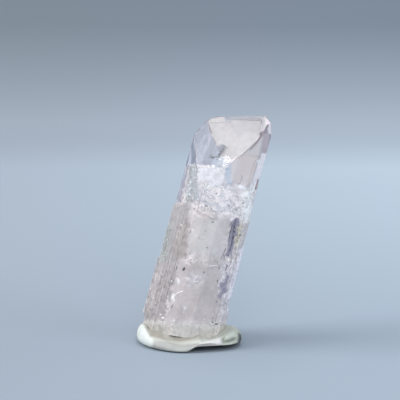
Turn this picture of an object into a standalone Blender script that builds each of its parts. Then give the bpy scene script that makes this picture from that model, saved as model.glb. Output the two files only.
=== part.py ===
"""Danburite crystal leaning in a pressed pad of mineral putty.

The crystal is drawn in its own frame, with +Z along the prism, from the planes of its faces.
It then leans towards +X in the putty. The origin is the middle of the pad's flat underside.
All the sizes below are millimetres and degrees; the finished meshes are in metres.
"""

import math
import random

import bmesh
import bpy
from mathutils import Matrix, Vector

MM = 0.001

# How the crystal stands in the pad
LEAN = 15.28  # from the vertical, top towards +X
AXIS_FOOT = Vector((-1.7, 0.0, 1.9))  # where the crystal's own origin stands
FOOT_LEVEL = 0.9  # height of the lowest break above the surface
SEAT_GAP = 0.3  # between the crystal and the putty all round
SPUR_SEAT_EXTRA = 0.06  # the seat under the foot's stub is this much deeper
SEAT_TOP = 12.0  # level where the shape that presses the seat ends

# Faces of the prism and the termination: azimuth from the viewer's side (-Y) towards +X,
# tilt of the outward normal from the crystal's long axis, distance from that axis's origin
PRISM = {
    "right_front": (20.0, 90.0, 5.262),
    "left_front": (-27.0, 90.0, 4.990),
    "left": (-70.0, 90.1, 5.600),
    "right": (67.0, 89.0, 6.353),
    "left_back": (-113.0, 90.1, 6.500),
    "right_back": (112.0, 89.0, 6.243),
    "back_right": (153.0, 90.0, 5.600),
    "back": (200.0, 90.0, 5.600),
}
TERMINATION = {
    "great_slope": (-37.0, 61.3, 18.80),
    "back_slope": (168.0, 50.6, 24.76),
    "left_back_slope": (-135.0, 77.1, 13.10),
    "left_back_cap": (-160.0, 59.3, 21.84),
    "right_cap": (62.0, 49.0, 30.14),
}
FACES = PRISM | TERMINATION
UP, DOWN = Vector((0.0, 0.0, 1.0)), Vector((0.0, 0.0, -1.0))
BLANK = 130.0  # edge of the cube that the faces are cut from
NEARLY_PARALLEL = 0.001  # faces this alike don't meet
SLIVER = 0.004  # the longest edge that is closed up

# The foot is a rough break: flat behind, and rising towards the viewer's left
FOOT_BREAK_POINT = Vector((0.15, -5.6, 2.08))
FOOT_BREAK_NORMAL = Vector((-0.167, -0.328, -0.930))
BREAK_HALF_WIDTH = 30.0  # of the blocks that the breaks cut away
BREAK_THICKNESS = 25.0

# Growth ledges: how far each stands out, the level and slope of its shoulder, how far it
# stays back from the neighbouring faces, and the level where it is broken off below
LEFT_LEDGES = ((0.26, 21.6, 34.0, 0.35, 3.4), (0.48, 12.6, 50.0, 0.50, 0.6))
RIGHT_LEDGES = ((0.18, 22.2, 30.0, 0.30, -7.0), (0.36, 18.8, 52.0, 0.44, -6.5))
FOOT_SPUR = (0.68, 6.4, 35.0, 0.58, -6.0)  # the stub at the right of the foot
LEDGE_REACH = 6.0  # how far from the long axis the levels are measured
LEDGE_CORE = 1.5  # how near the long axis the ledges' inner sides lie
LEDGE_UNDERSIDE = 150.0  # tilt of the break under a ledge
BELOW_FOOT = -9.0  # level where the prism ends before the foot is broken off

# The low plate on the front, whose borders aren't quite along the prism
PLATE_RISE = 0.14
PLATE_TOP = 21.4
PLATE_LEFT = (-76.0, 97.5, 4.05)
PLATE_RIGHT = (78.0, 83.0, 4.15)
PLATE_INSET = 0.22
PLATE_SHOULDER = (-10.0, 20.0)  # azimuth and tilt of the plate's top
PLATE_FRONT = 5.0  # how far forward the plate's top level is measured
PLATE_CORE = 0.5  # the plate's hidden side, just behind the long axis

# The narrow face that blunts the front edge below the plate's top
FRONT_BAND = (-4.0, 90.0, 5.10)
BAND_SHOULDER = (-4.0, 35.0, 21.0)
BAND_CUTTER = (6.0, 9.0)  # half width and outer distance of what is cut away

# Striations along the prism: place across the face, as a share of its width, and the
# levels that each runs between, on one ledge or above them
GROOVE_DEPTH = 0.12
GROOVE_SLOPE = 1.1  # half the groove's width over its depth
GROOVE_PROUD = 0.25  # how far the cutters stand out of the face
GROOVES = {
    "left": ((0.22, 21.8, 29.0), (0.55, 22.5, 30.5), (0.36, 12.8, 19.6), (0.70, 2.6, 9.8)),
    "left_back": ((0.30, 22.0, 29.5), (0.66, 13.0, 19.0), (0.42, 3.0, 9.5)),
    "right": ((0.35, 24.0, 33.5), (0.68, 26.0, 34.0), (0.50, 7.5, 16.0)),
    "right_back": ((0.25, 24.5, 31.0), (0.62, 26.0, 30.5), (0.45, 7.0, 15.5)),
    "right_front": ((0.55, 22.5, 30.0), (0.82, 23.0, 33.0), (0.62, 4.0, 19.0)),
    "left_front": ((0.20, 6.0, 19.5), (0.42, 22.5, 27.0)),
    "back_right": ((0.18, 4.0, 26.0), (0.50, 7.0, 30.0), (0.80, 3.0, 21.0)),
    "back": ((0.14, 5.0, 27.0), (0.38, 2.5, 19.0), (0.60, 8.0, 29.0), (0.84, 3.0, 22.0)),
}

# Chips out of the edges: place in the crystal's frame and radius of the bite
CHIPS = (
    ((-4.95, -3.15, 29.0), 0.55),
    ((-3.3, -4.25, 30.1), 0.38),
    ((-1.7, -5.05, 30.6), 0.42),
    ((0.1, -5.85, 30.5), 0.45),
    ((-1.45, 1.05, 38.75), 0.50),
    ((4.85, -4.05, 35.6), 0.40),
    ((6.35, -0.25, 29.6), 0.45),
    ((-6.75, 1.45, 24.4), 0.50),
    ((0.45, 6.25, 20.5), 0.60),
    ((-5.7, 4.2, 14.0), 0.55),
)

# Etch pits: shallow dishes on the lower body, more of them towards the foot
PIT_SEED = 11
PIT_COUNT = 26
PIT_RADIUS = (0.9, 1.9)
PIT_DEPTH = (0.10, 0.20)
PIT_LEVELS = (2.5, 23.0)
PIT_CROWDING = 1.4  # over 1, so that more pits lie low
PIT_MARGIN = 0.5  # from a face's long edges
PIT_SPACING = 0.2
PIT_TRIES = 2000
CHIP_TURN = 0.7  # radians from one chip's shape to the next

# The putty: azimuth, reach, rim height, height of the hollow behind the rim, lift of the edge
PAD_CENTRE = Vector((0.0, -0.4))
PAD_STATIONS = (
    (-90, 9.15, 3.05, 2.50, 0.00),
    (-68, 8.65, 2.95, 2.15, 0.00),
    (-48, 8.05, 1.85, 1.55, 0.00),
    (-27, 7.65, 1.22, 1.20, 0.00),
    (-9, 7.55, 1.05, 1.05, 0.00),
    (9, 7.15, 1.15, 1.10, 0.10),
    (26, 7.10, 1.45, 1.20, 0.32),
    (43, 8.05, 1.85, 1.35, 0.34),
    (58, 9.15, 2.45, 1.60, 0.16),
    (74, 9.35, 2.85, 1.90, 0.05),
    (95, 9.00, 2.50, 2.00, 0.00),
    (120, 8.05, 2.10, 1.90, 0.00),
    (145, 7.50, 2.00, 1.95, 0.00),
    (170, 7.30, 2.25, 2.10, 0.00),
    (195, 7.35, 2.35, 2.15, 0.00),
    (220, 8.60, 2.45, 2.20, 0.00),
    (245, 9.45, 2.85, 2.35, 0.00),
)
# Rings of the pad's cage: share of the reach, and how the rounding's pull is made up for
UNDERSIDE_RINGS = (0.42, 0.82)
EDGE_RING = 1.005
BULGE_RING = 1.055
RIM_RING = 0.93
HOLLOW_RING = 0.70
SEAT_RING = 0.40
RIM_SWELL = 1.26
SEAT_HEIGHT = 1.75
EDGE_HEIGHT = 0.12
BULGE_SHARE = 0.48  # height of the widest ring, between the edge and the rim
PAD_ROUNDING = 2  # subdivision levels


def face_normal(azimuth, tilt):
    """Outward normal of a face, from its azimuth and its tilt from the long axis."""
    a, t = math.radians(azimuth), math.radians(tilt)
    return Vector((math.sin(a) * math.sin(t), -math.cos(a) * math.sin(t), math.cos(t)))


def leaning():
    """Matrix from the crystal's own frame in millimetres to the world in metres."""
    place = Matrix.Translation(AXIS_FOOT) @ Matrix.Rotation(math.radians(LEAN), 4, "Y")
    return Matrix.Scale(MM, 4) @ place


def world_plane(point, normal):
    """A plane given in world millimetres, as (normal, distance) in the crystal's frame."""
    turn = Matrix.Rotation(-math.radians(LEAN), 3, "Y")
    n = turn @ normal.normalized()
    return n, n.dot(turn @ (point - AXIS_FOOT))


def foot_planes(grow=0.0):
    """The two breaks that end the crystal below."""
    level = world_plane(UP * FOOT_LEVEL, DOWN)
    rising = world_plane(FOOT_BREAK_POINT, FOOT_BREAK_NORMAL)
    return [(n, d + grow) for n, d in (level, rising)]


def planes_of(faces, grow=0.0):
    """(normal, distance) of each named face, moved outwards by grow."""
    return [(face_normal(az, tilt), d + grow) for az, tilt, d in faces.values()]


def cut_solid(planes):
    """A convex solid, as a bmesh: a cube cut by each plane in turn."""
    solid = bmesh.new()
    bmesh.ops.create_cube(solid, size=BLANK)
    for normal, distance in planes:
        everything = solid.verts[:] + solid.edges[:] + solid.faces[:]
        cut = bmesh.ops.bisect_plane(
            solid, geom=everything, plane_co=normal * distance, plane_no=normal, clear_outer=True
        )
        rim = [g for g in cut["geom_cut"] if isinstance(g, bmesh.types.BMEdge)]
        if rim:
            bmesh.ops.contextual_create(solid, geom=rim)
    bmesh.ops.recalc_face_normals(solid, faces=solid.faces[:])
    return solid


def new_object(name, solid, collection, matrix=None):
    """Turns a bmesh into an object in the collection, placed by the matrix."""
    mesh = bpy.data.meshes.new(name)
    solid.to_mesh(mesh)
    solid.free()
    obj = bpy.data.objects.new(name, mesh)
    collection.objects.link(obj)
    if matrix is not None:
        mesh.transform(matrix)
    return obj


def helper(name, solid, collection):
    """An object that only cuts or joins: drawn as wire and left out of renders."""
    obj = new_object(name, solid, collection, leaning())
    obj.hide_render = True
    obj.display_type = "WIRE"
    return obj


def boolean(target, other, operation):
    modifier = target.modifiers.new(other.name, "BOOLEAN")
    modifier.object = other
    modifier.operation = operation
    modifier.solver = "EXACT"


def ledge_planes(outer, inner, ledge, azimuth, grow=0.0):
    """Planes of a growth ledge: its outer faces stand out, below a sloping shoulder."""
    rise, top, slope, inset, bottom = ledge
    planes = planes_of({name: PRISM[name] for name in outer}, rise + grow)
    planes += planes_of({name: PRISM[name] for name in inner}, grow - inset)
    side = face_normal(azimuth, 90.0) * LEDGE_REACH
    for tilt, level in ((slope, top + grow), (LEDGE_UNDERSIDE, bottom - grow)):
        normal = face_normal(azimuth, tilt)
        planes.append((normal, normal.dot(side + UP * level)))
    planes.append((face_normal(azimuth + 180.0, 90.0), -LEDGE_CORE - inset))
    return planes


def left_ledge(ledge, grow=0.0):
    return ledge_planes(("left", "left_back"), ("left_front", "back"), ledge, -90.0, grow)


def right_ledge(ledge, grow=0.0):
    return ledge_planes(("right", "right_back"), ("right_front", "back_right"), ledge, 90.0, grow)


def foot_break(plane):
    """The block beyond one of the breaks, to be cut away."""
    normal, distance = plane
    across = normal.orthogonal().normalized()
    around = (across, -across, normal.cross(across), across.cross(normal))
    sides = [(n, BREAK_HALF_WIDTH) for n in around]
    return cut_solid([(-normal, -distance), (normal, distance + BREAK_THICKNESS), *sides])


def front_plate():
    """Planes of the low plate on the front."""
    front = {name: PRISM[name] for name in ("left_front", "right_front")}
    sides = {name: PRISM[name] for name in ("left", "right")}
    planes = planes_of(front, PLATE_RISE) + planes_of(sides, -PLATE_INSET)
    planes += planes_of({"border_left": PLATE_LEFT, "border_right": PLATE_RIGHT})
    top = face_normal(*PLATE_SHOULDER)
    planes.append((top, top.dot(Vector((0.0, -PLATE_FRONT, PLATE_TOP)))))
    planes.append((face_normal(180.0, 90.0), PLATE_CORE))
    planes.append((DOWN, PLATE_CORE - BELOW_FOOT))
    return planes


def front_band():
    """What is taken off the front edge, below the plate's top."""
    azimuth, tilt, distance = FRONT_BAND
    half_width, outer = BAND_CUTTER
    out = face_normal(azimuth, tilt)
    planes = [(-out, -distance), (out, outer), *planes_of({"shoulder": BAND_SHOULDER})]
    planes += [(face_normal(side, 90.0), half_width) for side in (90.0, -90.0)]
    planes.append((DOWN, 2.0 * PLATE_CORE - BELOW_FOOT))
    return cut_solid(planes)


def surface_rise(face, level):
    """How far the ledges and the plate lift a prism face at a level."""
    if face in ("left", "left_back"):
        ledges = LEFT_LEDGES
    elif face in ("right", "right_back"):
        ledges = (*RIGHT_LEDGES, FOOT_SPUR)
    elif face in ("left_front", "right_front"):
        ledges = ((PLATE_RISE, PLATE_TOP),)
    else:
        ledges = ()
    return max((ledge[0] for ledge in ledges if level < ledge[1]), default=0.0)


def face_frame(face, level):
    """A face's outward and sideways directions, and how far out it lies at the level."""
    azimuth, tilt, distance = PRISM[face]
    out = face_normal(azimuth, tilt)
    across = face_normal(azimuth + 90.0, 90.0)
    return out, across, distance + surface_rise(face, level)


def groove(solid, face, share, low, high):
    """Adds one three-sided cutter to the bmesh: a shallow groove along the prism."""
    out, across, distance = face_frame(face, 0.5 * (low + high))
    left, right = face_span(face)
    offset = left + (right - left) * share
    along = across.cross(out)
    if along.z < 0.0:
        along = -along
    half = GROOVE_SLOPE * (GROOVE_DEPTH + GROOVE_PROUD)
    section = (
        out * (distance - GROOVE_DEPTH),
        out * (distance + GROOVE_PROUD) + across * half,
        out * (distance + GROOVE_PROUD) - across * half,
    )
    ends = []
    for level in (low, high):
        shift = across * offset + along * level
        ends.append([solid.verts.new(corner + shift) for corner in section])
    made = [solid.faces.new(ends[0]), solid.faces.new(ends[1])]
    for i in range(len(section)):
        j = (i + 1) % len(section)
        made.append(solid.faces.new((ends[0][i], ends[0][j], ends[1][j], ends[1][i])))
    bmesh.ops.recalc_face_normals(solid, faces=made)


def all_grooves():
    solid = bmesh.new()
    for face, runs in GROOVES.items():
        for share, low, high in runs:
            groove(solid, face, share, low, high)
    return solid


def bite(solid, centre, radius, turn):
    """Adds a small faceted lump to the bmesh, to be cut away."""
    made = bmesh.ops.create_icosphere(solid, subdivisions=1, radius=radius)
    bmesh.ops.rotate(solid, verts=made["verts"], cent=Vector(), matrix=Matrix.Rotation(turn, 3, "Z"))
    bmesh.ops.translate(solid, verts=made["verts"], vec=centre)


def all_chips():
    solid = bmesh.new()
    for i, (place, radius) in enumerate(CHIPS):
        bite(solid, Vector(place), radius, CHIP_TURN * i)
    return solid


def face_span(face):
    """Where a prism face's two long edges lie, measured across it."""
    azimuth, _, distance = PRISM[face]
    out = face_normal(azimuth, 90.0)
    across = face_normal(azimuth + 90.0, 90.0)
    low, high = -BLANK, BLANK
    for other_azimuth, _, other_distance in PRISM.values():
        n = face_normal(other_azimuth, 90.0)
        slope = n.dot(across)
        room = other_distance - n.dot(out) * distance
        if slope > NEARLY_PARALLEL:
            high = min(high, room / slope)
        elif slope < -NEARLY_PARALLEL:
            low = max(low, room / slope)
    return low, high


def all_pits():
    """Shallow dishes, each where no other is, so that the cutters stay apart."""
    rng = random.Random(PIT_SEED)
    solid = bmesh.new()
    faces = list(PRISM)
    placed = []
    tries = 0
    while len(placed) < PIT_COUNT and tries < PIT_TRIES:
        tries += 1
        face = faces[len(placed) % len(faces)]
        low, high = face_span(face)
        radius = rng.uniform(*PIT_RADIUS)
        depth = rng.uniform(*PIT_DEPTH)
        bottom, top = PIT_LEVELS
        level = bottom + (top - bottom) * rng.random() ** PIT_CROWDING
        middle = rng.uniform(low + PIT_MARGIN, high - PIT_MARGIN)
        out, across, distance = face_frame(face, level)
        centre = out * (distance + radius - depth) + across * middle + UP * level
        if all((centre - c).length > radius + r + PIT_SPACING for c, r in placed):
            bite(solid, centre, radius, rng.uniform(0.0, math.tau))
            placed.append((centre, radius))
    return solid


def weld_slivers(obj):
    """Closes up the hair-thin edges that the cuts leave."""
    weld = obj.modifiers.new("weld_slivers", "WELD")
    weld.merge_threshold = SLIVER * MM


def finish_material(name, colour, roughness, transmission=0.0, ior=1.45):
    material = bpy.data.materials.new(name)
    material.use_nodes = True
    shader = material.node_tree.nodes["Principled BSDF"]
    shader.inputs["Base Color"].default_value = (*colour, 1.0)
    shader.inputs["Roughness"].default_value = roughness
    shader.inputs["Metallic"].default_value = 0.0
    shader.inputs["Transmission Weight"].default_value = transmission
    shader.inputs["IOR"].default_value = ior
    material.diffuse_color = (*colour, 1.0)
    return material


def make_crystal(parts, cutters):
    body = planes_of(FACES)
    body.append((DOWN, -BELOW_FOOT))
    crystal = new_object("crystal", cut_solid(body), parts, leaning())
    crystal.data.materials.append(
        finish_material("danburite", (0.93, 0.90, 0.94), 0.05, transmission=1.0, ior=1.63)
    )
    ledges = {f"left_ledge_{i + 1}": left_ledge(v) for i, v in enumerate(LEFT_LEDGES)}
    ledges |= {f"right_ledge_{i + 1}": right_ledge(v) for i, v in enumerate(RIGHT_LEDGES)}
    ledges["foot_spur"] = right_ledge(FOOT_SPUR)
    ledges["front_plate"] = front_plate()
    for name, planes in ledges.items():
        boolean(crystal, helper(name, cut_solid(planes), cutters), "UNION")
    level_break, rising_break = foot_planes()
    for name, solid in (
        ("level_break", foot_break(level_break)),
        ("rising_break", foot_break(rising_break)),
        ("front_band", front_band()),
        ("grooves", all_grooves()),
        ("pits", all_pits()),
        ("chips", all_chips()),
    ):
        boolean(crystal, helper(name, solid, cutters), "DIFFERENCE")
    weld_slivers(crystal)
    return crystal


def ring(solid, share, heights):
    """One ring of the pad's cage: a share of the reach, at each station's height."""
    verts = []
    for (azimuth, reach, *_), height in zip(PAD_STATIONS, heights):
        a = math.radians(azimuth)
        x = PAD_CENTRE.x + math.sin(a) * reach * share
        y = PAD_CENTRE.y - math.cos(a) * reach * share
        verts.append(solid.verts.new((x, y, height)))
    return verts


def pad_cage():
    """The lump of putty, drawn coarsely from the middle of its underside up and over."""
    solid = bmesh.new()
    rims = [station[2] for station in PAD_STATIONS]
    hollows = [station[3] for station in PAD_STATIONS]
    lifts = [station[4] for station in PAD_STATIONS]
    level = [0.0] * len(PAD_STATIONS)
    bulges = [lift + BULGE_SHARE * (rim - lift) for rim, lift in zip(rims, lifts)]
    rings = [ring(solid, share, level) for share in UNDERSIDE_RINGS]
    rings.append(ring(solid, EDGE_RING, [EDGE_HEIGHT + lift for lift in lifts]))
    rings.append(ring(solid, BULGE_RING, bulges))
    rings.append(ring(solid, RIM_RING, [rim * RIM_SWELL for rim in rims]))
    rings.append(ring(solid, HOLLOW_RING, hollows))
    rings.append(ring(solid, SEAT_RING, [SEAT_HEIGHT] * len(PAD_STATIONS)))
    below = solid.verts.new((PAD_CENTRE.x, PAD_CENTRE.y, 0.0))
    above = solid.verts.new((PAD_CENTRE.x, PAD_CENTRE.y, SEAT_HEIGHT))
    for i in range(len(PAD_STATIONS)):
        j = (i + 1) % len(PAD_STATIONS)
        solid.faces.new((below, rings[0][j], rings[0][i]))
        solid.faces.new((above, rings[-1][i], rings[-1][j]))
        for inner, outer in zip(rings, rings[1:]):
            solid.faces.new((inner[i], inner[j], outer[j], outer[i]))
    bmesh.ops.recalc_face_normals(solid, faces=solid.faces[:])
    return solid


def make_pad(parts, cutters):
    pad = new_object("putty_pad", pad_cage(), parts, Matrix.Scale(MM, 4))
    pad.data.materials.append(finish_material("mineral_putty", (0.66, 0.69, 0.62), 0.55))
    for polygon in pad.data.polygons:
        polygon.use_smooth = True
    rounding = pad.modifiers.new("rounding", "SUBSURF")
    rounding.levels = PAD_ROUNDING
    rounding.render_levels = PAD_ROUNDING
    seat = planes_of(PRISM, SEAT_GAP) + foot_planes(SEAT_GAP)
    seat.append((UP, SEAT_TOP))
    boolean(pad, helper("seat", cut_solid(seat), cutters), "DIFFERENCE")
    spur_seat = right_ledge(FOOT_SPUR, SEAT_GAP) + foot_planes(SEAT_GAP + SPUR_SEAT_EXTRA)
    boolean(pad, helper("spur_seat", cut_solid(spur_seat), cutters), "DIFFERENCE")
    weld_slivers(pad)
    return pad


def main():
    for obj in list(bpy.data.objects):
        bpy.data.objects.remove(obj, do_unlink=True)
    parts = bpy.data.collections.new("danburite_crystal")
    cutters = bpy.data.collections.new("cutters")
    for collection in (parts, cutters):
        bpy.context.scene.collection.children.link(collection)
    make_crystal(parts, cutters)
    make_pad(parts, cutters)


main()
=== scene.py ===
"""Looks of a danburite crystal that leans in a pad of mineral putty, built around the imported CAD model.

Lengths are in metres. Places on the crystal are given in millimetres, in one of two ways: in the
crystal's own frame, where z runs up its long axis, or as seen from the front, across and up from the
middle of the pad's underside.
"""
import math

import bmesh
import bpy
import numpy as np
from mathutils import Matrix, Vector, noise
from mathutils.bvhtree import BVHTree


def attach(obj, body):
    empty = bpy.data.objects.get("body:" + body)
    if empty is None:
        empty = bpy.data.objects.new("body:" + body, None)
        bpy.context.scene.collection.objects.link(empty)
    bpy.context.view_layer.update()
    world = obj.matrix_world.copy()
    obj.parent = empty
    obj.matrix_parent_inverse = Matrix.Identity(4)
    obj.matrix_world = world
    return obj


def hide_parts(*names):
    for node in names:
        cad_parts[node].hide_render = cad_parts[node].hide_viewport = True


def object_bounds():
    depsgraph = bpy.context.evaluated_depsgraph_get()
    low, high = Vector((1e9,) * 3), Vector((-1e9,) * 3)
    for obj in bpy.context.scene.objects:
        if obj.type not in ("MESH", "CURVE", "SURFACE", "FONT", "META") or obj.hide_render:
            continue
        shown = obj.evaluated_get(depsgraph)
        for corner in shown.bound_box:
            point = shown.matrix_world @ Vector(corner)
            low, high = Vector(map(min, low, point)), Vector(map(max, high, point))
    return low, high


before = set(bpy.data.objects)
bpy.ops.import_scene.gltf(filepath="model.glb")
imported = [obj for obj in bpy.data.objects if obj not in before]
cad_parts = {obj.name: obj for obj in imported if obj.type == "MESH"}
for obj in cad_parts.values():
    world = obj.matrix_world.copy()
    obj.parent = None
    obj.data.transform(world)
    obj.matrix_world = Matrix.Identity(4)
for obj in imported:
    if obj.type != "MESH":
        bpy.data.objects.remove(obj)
CAD_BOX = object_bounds()

MM = 0.001

# Without a seed the facets would follow the clock and differ from run to run.
NOISE_SEED = 4
noise.seed_set(NOISE_SEED)

# The crystal's axis leans to the right of the camera, about Y, and starts at its foot.
LEAN = math.radians(15.28)
AXIS_FOOT = Vector((-1.7, 0, 1.9)) * MM
TO_WORLD = Matrix.Translation(AXIS_FOOT) @ Matrix.Rotation(LEAN, 4, "Y")
TO_CRYSTAL = TO_WORLD.inverted()

# The camera looks down a little at a 40 mm specimen that fills two thirds of the frame's height.
PIXEL = 0.172 * MM
PICTURE = 400
CAMERA_DISTANCE = 0.26
CAMERA_ELEVATION = math.radians(10)
LOOK_AT = Vector((1.9, 0, 25.1)) * MM
SENSOR = 36
ACROSS = Vector((1, 0, 0))
AHEAD = Vector((0, math.cos(CAMERA_ELEVATION), -math.sin(CAMERA_ELEVATION)))
UPWARD = ACROSS.cross(AHEAD)
CAMERA_PLACE = LOOK_AT - AHEAD * CAMERA_DISTANCE

# The surface of the CAD crystal, for finding places on it.
CRYSTAL_TREE = BVHTree.FromPolygons(
    [v.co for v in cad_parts["crystal"].data.vertices],
    [p.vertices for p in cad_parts["crystal"].data.polygons],
)

# The longest edge of the crystal's mesh in front, how many times longer it may be on the back, and the
# rounds of halving that bring the longest edges of the CAD mesh under it.
MESH_STEP = 0.30 * MM
BACK_COARSER = 2.0
REFINE_ROUNDS = 8
# Triangles that meet at less than this angle lie in one flat face, so the edge between them may be turned.
FLAT_ANGLE = 0.001
# From this angle on an edge stays sharp, on the stone and on its etched skin.
SHARP_EDGE = math.radians(9)
SKIN_SHARP_EDGE = math.radians(40)


def linear(hexa):
    """An sRGB hex colour as the linear colour that a socket takes."""
    shares = [int(hexa[i:i + 2], 16) / 255 for i in (1, 3, 5)]
    return tuple(c / 12.92 if c <= 0.04045 else ((c + 0.055) / 1.055) ** 2.4 for c in shares) + (1,)


def add_node(tree, kind, settings=None, links=None):
    """Adds a node. Settings go to its properties or its sockets, and links maps a socket to its source."""
    node = tree.nodes.new(kind)
    for name, value in (settings or {}).items():
        if isinstance(name, str) and hasattr(node, name):
            setattr(node, name, value)
        else:
            node.inputs[name].default_value = value
    for name, source in (links or {}).items():
        tree.links.new(source, node.inputs[name])
    return node


def new_material(name):
    """A material with an empty node tree and its output node."""
    material = bpy.data.materials.new(name)
    material.use_nodes = True
    material.node_tree.nodes.clear()
    return material, material.node_tree, add_node(material.node_tree, "ShaderNodeOutputMaterial")


def link_object(name, mesh, material):
    """Puts a mesh in the scene as an object with one material."""
    obj = bpy.data.objects.new(name, mesh)
    bpy.context.scene.collection.objects.link(obj)
    mesh.materials.clear()
    mesh.materials.append(material)
    return obj


# Places on the specimen

def to_crystal(points):
    """World points as millimetres in the crystal's own frame."""
    turn = np.array(TO_CRYSTAL)
    return (points @ turn[:3, :3].T + turn[:3, 3]) / MM


def to_front(points):
    """World points as millimetres across and up on the picture plane, measured from the pad's middle."""
    away = points - np.array(CAMERA_PLACE)
    depth = away @ np.array(AHEAD)
    across = away @ np.array(ACROSS) / depth * CAMERA_DISTANCE
    up = away @ np.array(UPWARD) / depth * CAMERA_DISTANCE
    return (across + LOOK_AT.dot(ACROSS)) / MM, (up + LOOK_AT.dot(UPWARD)) / MM


def front_ray(across, up):
    """The camera's ray through a place on the picture plane."""
    aim = LOOK_AT + ACROSS * (across * MM - LOOK_AT.dot(ACROSS)) + UPWARD * (up * MM - LOOK_AT.dot(UPWARD))
    return (aim - CAMERA_PLACE).normalized()


def front_spot(across, up, depth):
    """The point of the crystal seen at a place on the picture plane, sunk in by depth, and its normal."""
    hit, normal, _, _ = CRYSTAL_TREE.ray_cast(CAMERA_PLACE, front_ray(across, up))
    return hit - normal * depth * MM, normal


def ramp(low, high, values):
    """0 below low, 1 above high and smooth between them; low may be the larger."""
    share = np.clip((values - low) / (high - low), 0, 1)
    return share * share * (3 - 2 * share)


def facing_front(normals):
    """1 on a surface that looks toward the camera, falling to 0 where it turns away."""
    return ramp(0.0, 0.3, -(normals @ np.array(AHEAD)))


def grain(points, size, seed, stretch=(1, 1, 1)):
    """Smooth noise from about -1 to 1 whose lumps are size millimetres wide."""
    scaled = points / (np.array(stretch) * size) + seed * 17.31
    return np.array([noise.noise(p) for p in scaled]) * 1.6


def facets(points, size, slope, seed, stretch):
    """Relief in millimetres of a hackly surface: small flat facets, each tipped its own way."""
    scale = np.array(stretch) * size
    relief = np.zeros(len(points))
    for i, p in enumerate(points / scale + seed * 11.7):
        cell = noise.voronoi(p)[1][0]
        relief[i] = noise.noise_vector(cell * 3.7).dot(Vector(p) - cell)
    return relief * size * slope * 2


# The crystal

def danburite():
    """Natural gem danburite, clear and faintly rose: limpid at the tip, etched and rippled lower down."""
    material, tree, output = new_material("danburite")
    etched = add_node(tree, "ShaderNodeAttribute", {"attribute_name": "etched"})
    rough = add_node(tree, "ShaderNodeMapRange", {"To Min": 0.02, "To Max": 0.16}, {
        "Value": etched.outputs["Fac"],
    })
    place = add_node(tree, "ShaderNodeTexCoord")
    frost = add_node(tree, "ShaderNodeTexNoise", {
        "Scale": 1 / (0.45 * MM),
        "Detail": 3.0,
        "Roughness": 0.6,
    }, {"Vector": place.outputs["Object"]})
    depth = add_node(tree, "ShaderNodeMath", {"operation": "MULTIPLY", 1: 0.4}, {0: etched.outputs["Fac"]})
    bump = add_node(tree, "ShaderNodeBump", {"Distance": 0.05 * MM}, {
        "Strength": depth.outputs["Value"],
        "Height": frost.outputs["Fac"],
    })
    shader = add_node(tree, "ShaderNodeBsdfPrincipled", {
        "Base Color": linear("#fffcfd"),
        "IOR": 1.63,
        "Transmission Weight": 1.0,
    }, {"Roughness": rough.outputs["Result"], "Normal": bump.outputs["Normal"]})
    inside = add_node(tree, "ShaderNodeVolumeAbsorption", {
        "Color": linear("#f0ccdf"),
        "Density": 5.0,
    })
    tree.links.new(shader.outputs["BSDF"], output.inputs["Surface"])
    tree.links.new(inside.outputs["Volume"], output.inputs["Volume"])
    return material


def etched_skin():
    """The skin of the lower body, etched by nature: a thin matt bloom in small angular patches."""
    material, tree, output = new_material("etched_skin")
    bloom = add_node(tree, "ShaderNodeAttribute", {"attribute_name": "bloom"})
    tint = add_node(tree, "ShaderNodeAttribute", {"attribute_name": "tint"})
    etched = add_node(tree, "ShaderNodeAttribute", {"attribute_name": "etched"})
    place = add_node(tree, "ShaderNodeTexCoord")
    wander = add_node(tree, "ShaderNodeTexNoise", {"Scale": 1 / (0.8 * MM), "Detail": 2.0}, {
        "Vector": place.outputs["Object"],
    })
    bent = add_node(tree, "ShaderNodeVectorMath", {"operation": "MULTIPLY_ADD", 1: (0.5 * MM,) * 3}, {
        0: wander.outputs["Color"], 2: place.outputs["Object"],
    })
    chips = add_node(tree, "ShaderNodeTexVoronoi", {"Scale": 1 / (0.55 * MM)}, {
        "Vector": bent.outputs["Vector"],
    })
    shares = add_node(tree, "ShaderNodeSeparateColor", links={"Color": chips.outputs["Color"]})
    most = add_node(tree, "ShaderNodeMapRange", {"To Min": 1.02, "To Max": 1.6}, {
        "Value": etched.outputs["Fac"],
    })
    least = add_node(tree, "ShaderNodeMapRange", {"To Min": 0.98, "To Max": 0.35}, {
        "Value": etched.outputs["Fac"],
    })
    patches = add_node(tree, "ShaderNodeMapRange", {"From Min": 0.15, "From Max": 0.85}, {
        "Value": shares.outputs["Red"],
        "To Min": least.outputs["Result"],
        "To Max": most.outputs["Result"],
    })
    cover = add_node(tree, "ShaderNodeMath", {"operation": "MULTIPLY", "use_clamp": True}, {
        0: bloom.outputs["Fac"], 1: patches.outputs["Result"],
    })
    depth = add_node(tree, "ShaderNodeMath", {"operation": "MULTIPLY", 1: 0.5}, {0: etched.outputs["Fac"]})
    bump = add_node(tree, "ShaderNodeBump", {"Distance": 0.10 * MM}, {
        "Strength": depth.outputs["Value"],
        "Height": chips.outputs["Distance"],
    })
    shader = add_node(tree, "ShaderNodeBsdfPrincipled", {"Roughness": 0.35}, {
        "Base Color": tint.outputs["Color"],
        "Alpha": cover.outputs["Value"],
        "Normal": bump.outputs["Normal"],
    })
    tree.links.new(shader.outputs["BSDF"], output.inputs["Surface"])
    return material


def merged_copy(node):
    """A CAD node's mesh with its loose triangles joined, as a bmesh."""
    shape = bmesh.new()
    shape.from_mesh(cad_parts[node].data)
    bmesh.ops.remove_doubles(shape, verts=shape.verts, dist=1e-7)
    return shape


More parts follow.
